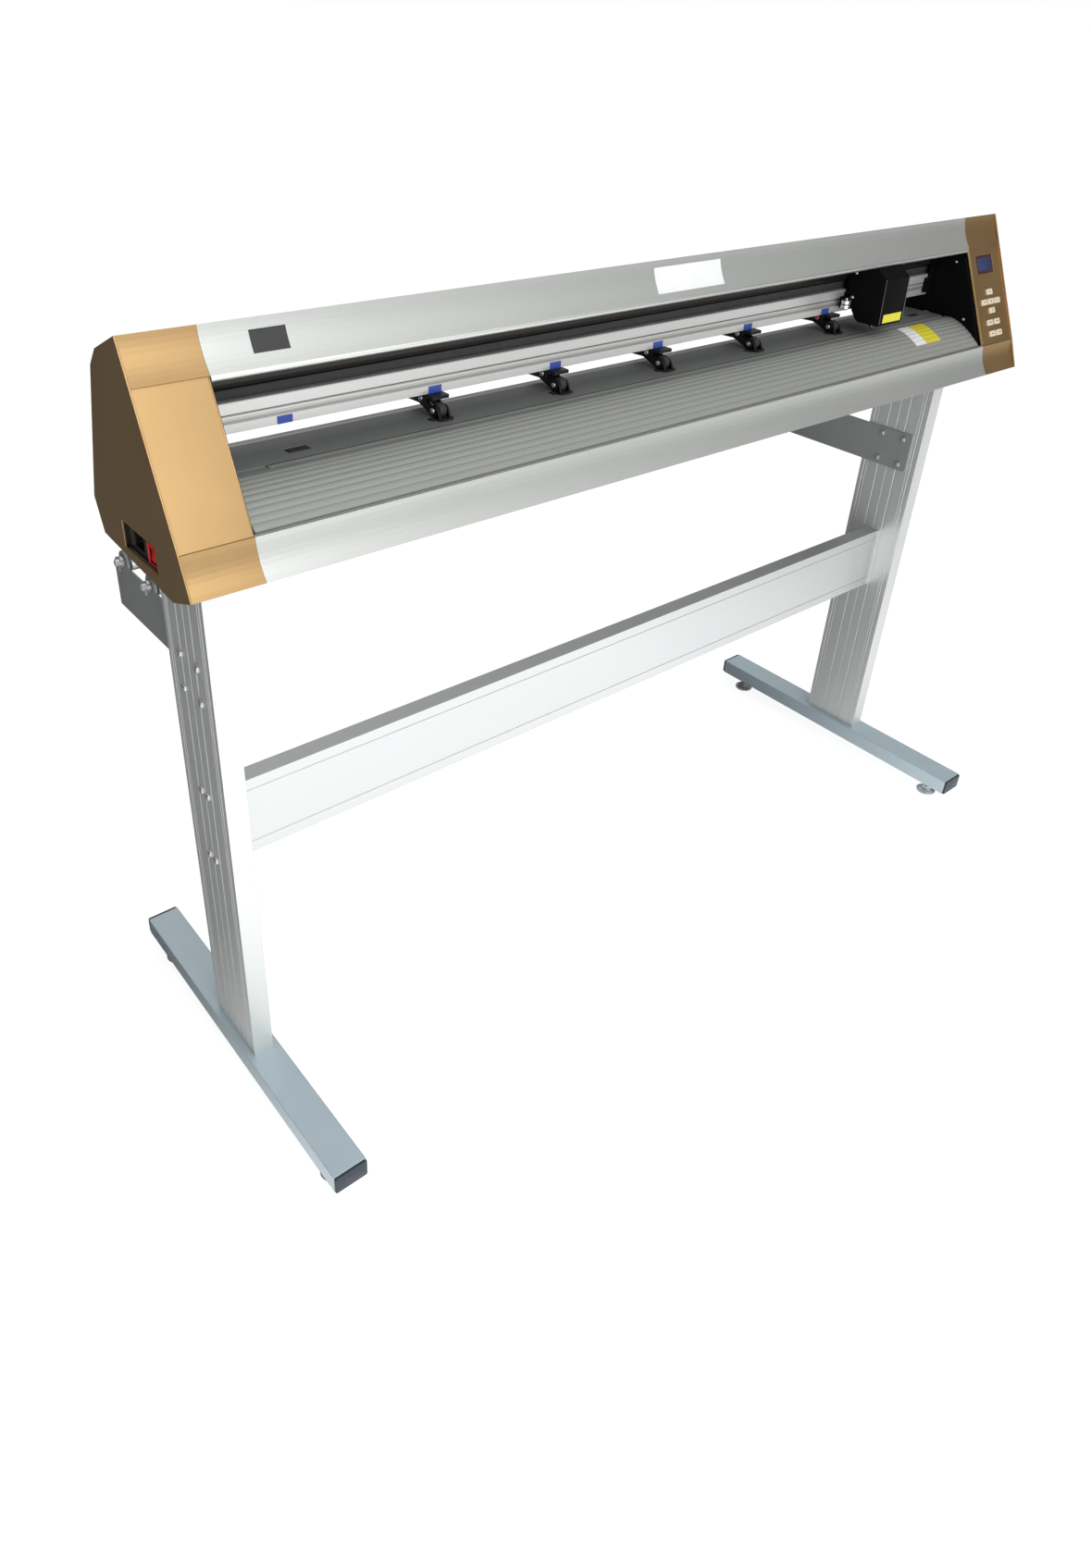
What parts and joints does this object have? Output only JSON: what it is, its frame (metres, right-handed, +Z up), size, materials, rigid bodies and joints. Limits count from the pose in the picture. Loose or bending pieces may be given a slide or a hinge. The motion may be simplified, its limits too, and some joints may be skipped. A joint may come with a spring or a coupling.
{
  "type": "vinyl cutting plotter",
  "caption": "Wide vinyl cutting plotter on a two-legged floor stand, with a sliding tool carriage, grit shaft, pinch rollers, keypad panel and rear roll supports.",
  "frame": {"origin": "on the floor, under the middle of the object's box", "axes": "+X along the machine to the operator's right, +Y to the back, +Z up"},
  "size_m": [1.59, 0.6, 1.115],
  "materials": {
    "foot_paint": "satin powder coat",
    "cap_plastic": "matte moulded",
    "leg_aluminium": "raw extruded",
    "beam_aluminium": "clear anodised",
    "fastener_steel": "zinc plated",
    "bracket_paint": "satin powder coat",
    "base_paint": "matte powder coat",
    "gold_paint": "satin gold paint",
    "silver_anodised": "satin anodised",
    "platen_grey": "matte grey anodised",
    "strip_plastic": "low friction strip",
    "rail_aluminium": "satin anodised",
    "plate_black": "matte black powder coat",
    "bearing_steel": "ground",
    "motor_black": "satin black",
    "belt_rubber": "fabric faced rubber",
    "board_green": "solder mask",
    "inlet_plastic": "moulded",
    "carriage_black": "matte black",
    "tool_steel": "machined",
    "grit_steel": "knurled",
    "pulley_aluminium": "turned",
    "roller_aluminium": "anodised tube",
    "switch_red": "gloss moulded",
    "pad_steel": "zinc plated",
    "key_cream": "moulded",
    "pinch_black": "moulded",
    "pinch_rubber": "moulded rubber"
  },
  "bodies": {
    "root": {"foot_bars": "foot_paint", "foot_end_caps": "cap_plastic", "legs": "leg_aluminium", "cross_beam": "beam_aluminium", "stand_bolts": "fastener_steel", "roller_brackets": "bracket_paint", "base_frame": "base_paint", "left_end_cover": "gold_paint", "right_end_cover": "gold_paint", "end_trims": "gold_paint", "top_cover": "silver_anodised", "front_cover": "silver_anodised", "rear_cover": "silver_anodised", "platen": "platen_grey", "cutting_strip": "strip_plastic", "guide_beam": "rail_aluminium", "side_plates": "plate_black", "shaft_bearings": "bearing_steel", "motors": "motor_black", "belts": "belt_rubber", "circuit_boards": "board_green", "power_inlet": "inlet_plastic"},
    "carriage": {"carriage_frame": "carriage_black", "carriage_cover": "carriage_black"},
    "tool": {"tool_holder": "tool_steel"},
    "grit_shaft": {"grit_shaft": "grit_steel"},
    "feed_pulley": {"feed_pulley": "pulley_aluminium"},
    "drive_pulley": {"drive_pulley": "pulley_aluminium"},
    "idler_pulley": {"idler_pulley": "pulley_aluminium"},
    "front_roller": {"media_roller_front": "roller_aluminium"},
    "rear_roller": {"media_roller_rear": "roller_aluminium"},
    "power_switch": {"power_switch": "switch_red"},
    "levelling_foot_1": {"levelling_foot_1": "pad_steel"},
    "levelling_foot_2": {"levelling_foot_2": "pad_steel"},
    "levelling_foot_3": {"levelling_foot_3": "pad_steel"},
    "levelling_foot_4": {"levelling_foot_4": "pad_steel"},
    "key_1": {"key_1": "key_cream"},
    "key_2": {"key_2": "key_cream"},
    "key_3": {"key_3": "key_cream"},
    "key_4": {"key_4": "key_cream"},
    "key_5": {"key_5": "key_cream"},
    "key_6": {"key_6": "key_cream"},
    "key_7": {"key_7": "key_cream"},
    "key_8": {"key_8": "key_cream"},
    "key_9": {"key_9": "key_cream"},
    "pinch_mount_1": {"pinch_mount_1": "pinch_black"},
    "pinch_arm_1": {"pinch_arm_1": "pinch_black"},
    "pinch_wheel_1": {"pinch_wheel_1": "pinch_rubber"},
    "pinch_mount_2": {"pinch_mount_2": "pinch_black"},
    "pinch_arm_2": {"pinch_arm_2": "pinch_black"},
    "pinch_wheel_2": {"pinch_wheel_2": "pinch_rubber"},
    "pinch_mount_3": {"pinch_mount_3": "pinch_black"},
    "pinch_arm_3": {"pinch_arm_3": "pinch_black"},
    "pinch_wheel_3": {"pinch_wheel_3": "pinch_rubber"},
    "pinch_mount_4": {"pinch_mount_4": "pinch_black"},
    "pinch_arm_4": {"pinch_arm_4": "pinch_black"},
    "pinch_wheel_4": {"pinch_wheel_4": "pinch_rubber"},
    "pinch_mount_5": {"pinch_mount_5": "pinch_black"},
    "pinch_arm_5": {"pinch_arm_5": "pinch_black"},
    "pinch_wheel_5": {"pinch_wheel_5": "pinch_rubber"}
  },
  "joints": [
    {"name": "carriage_slide", "type": "slide", "parent": "root", "child": "carriage", "axis": [1, 0, 0], "range_m": [-1.12, 0.16]},
    {"name": "tool_drop", "type": "slide", "parent": "carriage", "child": "tool", "axis": [0, 0, 1], "range_m": [-0.0035, 0]},
    {"name": "drive_pulley_spin", "type": "hinge", "parent": "root", "child": "drive_pulley", "pos_m": [0.735, 0.011, 1.024], "axis": [0, 0, 1], "range_deg": [-5813, 836]},
    {"name": "idler_pulley_spin", "type": "hinge", "parent": "root", "child": "idler_pulley", "pos_m": [-0.7375, 0.011, 1.024], "axis": [0, 0, 1], "range_deg": [-5813, 836]},
    {"name": "grit_spin", "type": "hinge", "parent": "root", "child": "grit_shaft", "pos_m": [0, -0.019, 0.9418], "axis": [1, 0, 0], "continuous": true},
    {"name": "feed_pulley_spin", "type": "hinge", "parent": "root", "child": "feed_pulley", "pos_m": [-0.7275, 0.025, 0.902], "axis": [1, 0, 0], "continuous": true},
    {"name": "front_roller_spin", "type": "hinge", "parent": "root", "child": "front_roller", "pos_m": [0, 0.175, 0.73], "axis": [1, 0, 0], "continuous": true},
    {"name": "rear_roller_spin", "type": "hinge", "parent": "root", "child": "rear_roller", "pos_m": [0, 0.263, 0.73], "axis": [1, 0, 0], "continuous": true},
    {"name": "power_switch_rock", "type": "hinge", "parent": "root", "child": "power_switch", "pos_m": [-0.785, -0.063, 0.889], "axis": [0, 1, 0], "range_deg": [0, 12]},
    {"name": "levelling_foot_1_adjust", "type": "slide", "parent": "root", "child": "levelling_foot_1", "axis": [0, 0, 1], "range_m": [-0.01, 0.006]},
    {"name": "levelling_foot_2_adjust", "type": "slide", "parent": "root", "child": "levelling_foot_2", "axis": [0, 0, 1], "range_m": [-0.01, 0.006]},
    {"name": "levelling_foot_3_adjust", "type": "slide", "parent": "root", "child": "levelling_foot_3", "axis": [0, 0, 1], "range_m": [-0.01, 0.006]},
    {"name": "levelling_foot_4_adjust", "type": "slide", "parent": "root", "child": "levelling_foot_4", "axis": [0, 0, 1], "range_m": [-0.01, 0.006]},
    {"name": "key_1_press", "type": "slide", "parent": "root", "child": "key_1", "axis": [0, 0.906, -0.4234], "range_m": [0, 0.001], "stiffness_N_per_m": 300},
    {"name": "key_2_press", "type": "slide", "parent": "root", "child": "key_2", "axis": [0, 0.906, -0.4234], "range_m": [0, 0.001], "stiffness_N_per_m": 300},
    {"name": "key_3_press", "type": "slide", "parent": "root", "child": "key_3", "axis": [0, 0.906, -0.4234], "range_m": [0, 0.001], "stiffness_N_per_m": 300},
    {"name": "key_4_press", "type": "slide", "parent": "root", "child": "key_4", "axis": [0, 0.906, -0.4234], "range_m": [0, 0.001], "stiffness_N_per_m": 300},
    {"name": "key_5_press", "type": "slide", "parent": "root", "child": "key_5", "axis": [0, 0.906, -0.4234], "range_m": [0, 0.001], "stiffness_N_per_m": 300},
    {"name": "key_6_press", "type": "slide", "parent": "root", "child": "key_6", "axis": [0, 0.906, -0.4234], "range_m": [0, 0.001], "stiffness_N_per_m": 300},
    {"name": "key_7_press", "type": "slide", "parent": "root", "child": "key_7", "axis": [0, 0.906, -0.4234], "range_m": [0, 0.001], "stiffness_N_per_m": 300},
    {"name": "key_8_press", "type": "slide", "parent": "root", "child": "key_8", "axis": [0, 0.906, -0.4234], "range_m": [0, 0.001], "stiffness_N_per_m": 300},
    {"name": "key_9_press", "type": "slide", "parent": "root", "child": "key_9", "axis": [0, 0.906, -0.4234], "range_m": [0, 0.001], "stiffness_N_per_m": 300},
    {"name": "pinch_mount_1_slide", "type": "slide", "parent": "root", "child": "pinch_mount_1", "axis": [1, 0, 0], "range_m": [-0.2, 0.08]},
    {"name": "pinch_arm_1_lift", "type": "hinge", "parent": "pinch_mount_1", "child": "pinch_arm_1", "pos_m": [-0.388, 0.004, 0.974], "axis": [1, 0, 0], "range_deg": [-9, 0], "stiffness_Nm_per_rad": 0.5},
    {"name": "pinch_wheel_1_spin", "type": "hinge", "parent": "pinch_arm_1", "child": "pinch_wheel_1", "pos_m": [-0.388, -0.019, 0.9633], "axis": [1, 0, 0], "continuous": true},
    {"name": "pinch_mount_2_slide", "type": "slide", "parent": "root", "child": "pinch_mount_2", "axis": [1, 0, 0], "range_m": [-0.08, 0.08]},
    {"name": "pinch_arm_2_lift", "type": "hinge", "parent": "pinch_mount_2", "child": "pinch_arm_2", "pos_m": [-0.188, 0.004, 0.974], "axis": [1, 0, 0], "range_deg": [-9, 0], "stiffness_Nm_per_rad": 0.5},
    {"name": "pinch_wheel_2_spin", "type": "hinge", "parent": "pinch_arm_2", "child": "pinch_wheel_2", "pos_m": [-0.188, -0.019, 0.9633], "axis": [1, 0, 0], "continuous": true},
    {"name": "pinch_mount_3_slide", "type": "slide", "parent": "root", "child": "pinch_mount_3", "axis": [1, 0, 0], "range_m": [-0.08, 0.08]},
    {"name": "pinch_arm_3_lift", "type": "hinge", "parent": "pinch_mount_3", "child": "pinch_arm_3", "pos_m": [0.012, 0.004, 0.974], "axis": [1, 0, 0], "range_deg": [-9, 0], "stiffness_Nm_per_rad": 0.5},
    {"name": "pinch_wheel_3_spin", "type": "hinge", "parent": "pinch_arm_3", "child": "pinch_wheel_3", "pos_m": [0.012, -0.019, 0.9633], "axis": [1, 0, 0], "continuous": true},
    {"name": "pinch_mount_4_slide", "type": "slide", "parent": "root", "child": "pinch_mount_4", "axis": [1, 0, 0], "range_m": [-0.08, 0.08]},
    {"name": "pinch_arm_4_lift", "type": "hinge", "parent": "pinch_mount_4", "child": "pinch_arm_4", "pos_m": [0.212, 0.004, 0.974], "axis": [1, 0, 0], "range_deg": [-9, 0], "stiffness_Nm_per_rad": 0.5},
    {"name": "pinch_wheel_4_spin", "type": "hinge", "parent": "pinch_arm_4", "child": "pinch_wheel_4", "pos_m": [0.212, -0.019, 0.9633], "axis": [1, 0, 0], "continuous": true},
    {"name": "pinch_mount_5_slide", "type": "slide", "parent": "root", "child": "pinch_mount_5", "axis": [1, 0, 0], "range_m": [-0.08, 0.08]},
    {"name": "pinch_arm_5_lift", "type": "hinge", "parent": "pinch_mount_5", "child": "pinch_arm_5", "pos_m": [0.412, 0.004, 0.974], "axis": [1, 0, 0], "range_deg": [-9, 0], "stiffness_Nm_per_rad": 0.5},
    {"name": "pinch_wheel_5_spin", "type": "hinge", "parent": "pinch_arm_5", "child": "pinch_wheel_5", "pos_m": [0.412, -0.019, 0.9633], "axis": [1, 0, 0], "continuous": true}
  ],
  "couplings": [
    {"joint": "drive_pulley_spin", "follows": "carriage_slide", "rad_per_m": 90.498},
    {"joint": "idler_pulley_spin", "follows": "carriage_slide", "rad_per_m": 90.498},
    {"joint": "feed_pulley_spin", "follows": "grit_spin", "ratio": 3},
    {"joint": "pinch_wheel_1_spin", "follows": "grit_spin", "ratio": -1.3333},
    {"joint": "pinch_wheel_2_spin", "follows": "grit_spin", "ratio": -1.3333},
    {"joint": "pinch_wheel_3_spin", "follows": "grit_spin", "ratio": -1.3333},
    {"joint": "pinch_wheel_4_spin", "follows": "grit_spin", "ratio": -1.3333},
    {"joint": "pinch_wheel_5_spin", "follows": "grit_spin", "ratio": -1.3333}
  ]
}
